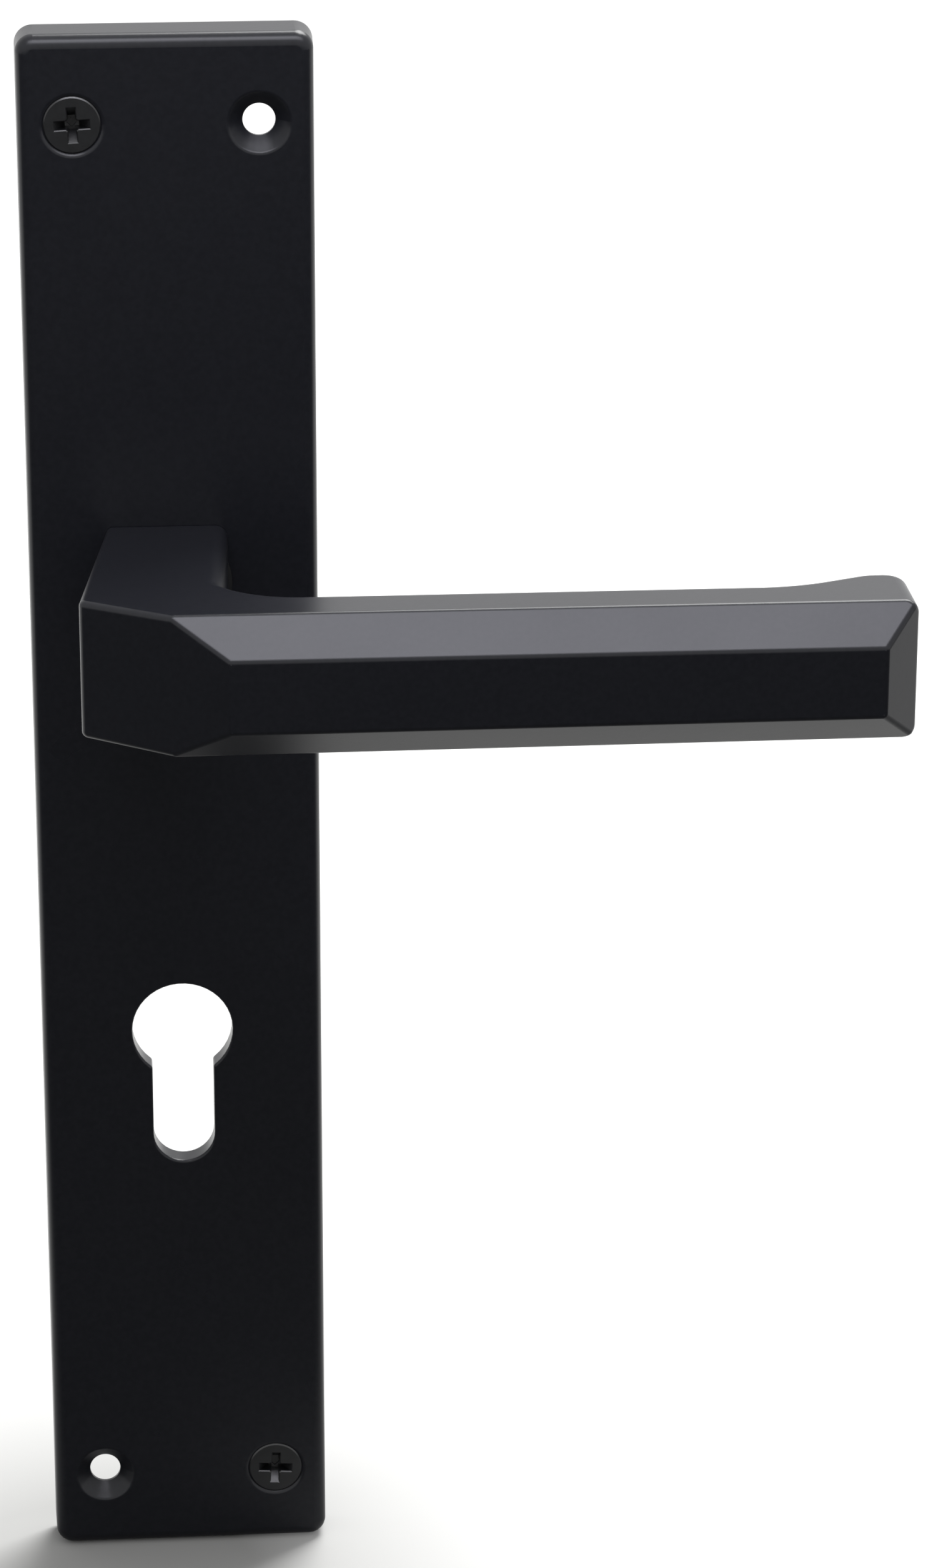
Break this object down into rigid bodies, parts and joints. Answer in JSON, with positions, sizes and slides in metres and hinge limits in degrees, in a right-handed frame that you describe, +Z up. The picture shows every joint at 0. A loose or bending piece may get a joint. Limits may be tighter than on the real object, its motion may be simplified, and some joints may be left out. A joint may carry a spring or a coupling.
{
  "type": "door lever handle",
  "caption": "Black lever handle on a long flat backplate, with a bevelled grip, a sprung return, countersunk fixing holes and a hole for a lock cylinder.",
  "frame": {"origin": "where the spindle axis meets the door face, in the plane of the backplate's back rim", "axes": "+X along the grip, +Y from the room into the door, +Z up"},
  "size_m": [0.1475, 0.1297, 0.2865],
  "materials": {
    "powder_coat": "satin black powder coat on a die casting",
    "nylon": "moulded, black",
    "zinc_steel": "bright zinc plate",
    "spring_steel": "oiled, drawn",
    "black_steel": "blackened steel"
  },
  "bodies": {
    "plate": {"backplate": "powder_coat", "neck_bush": "nylon", "return_spring": "spring_steel", "spring_cover": "zinc_steel", "cover_screw_left": "zinc_steel", "cover_screw_right": "zinc_steel", "fixing_screw_upper": "black_steel", "fixing_screw_lower": "black_steel"},
    "handle": {"lever": "powder_coat", "spindle": "zinc_steel", "grub_screw": "black_steel", "drive_cam": "zinc_steel", "thrust_washer": "zinc_steel", "retaining_ring": "spring_steel"}
  },
  "joints": [
    {"name": "lever_turn", "type": "hinge", "parent": "plate", "child": "handle", "pos_m": [0, 0, 0], "axis": [0, 1, 0], "range_deg": [0, 45], "stiffness_Nm_per_rad": 1.2, "springref_deg": -22.92, "deforming": ["return_spring"]}
  ]
}
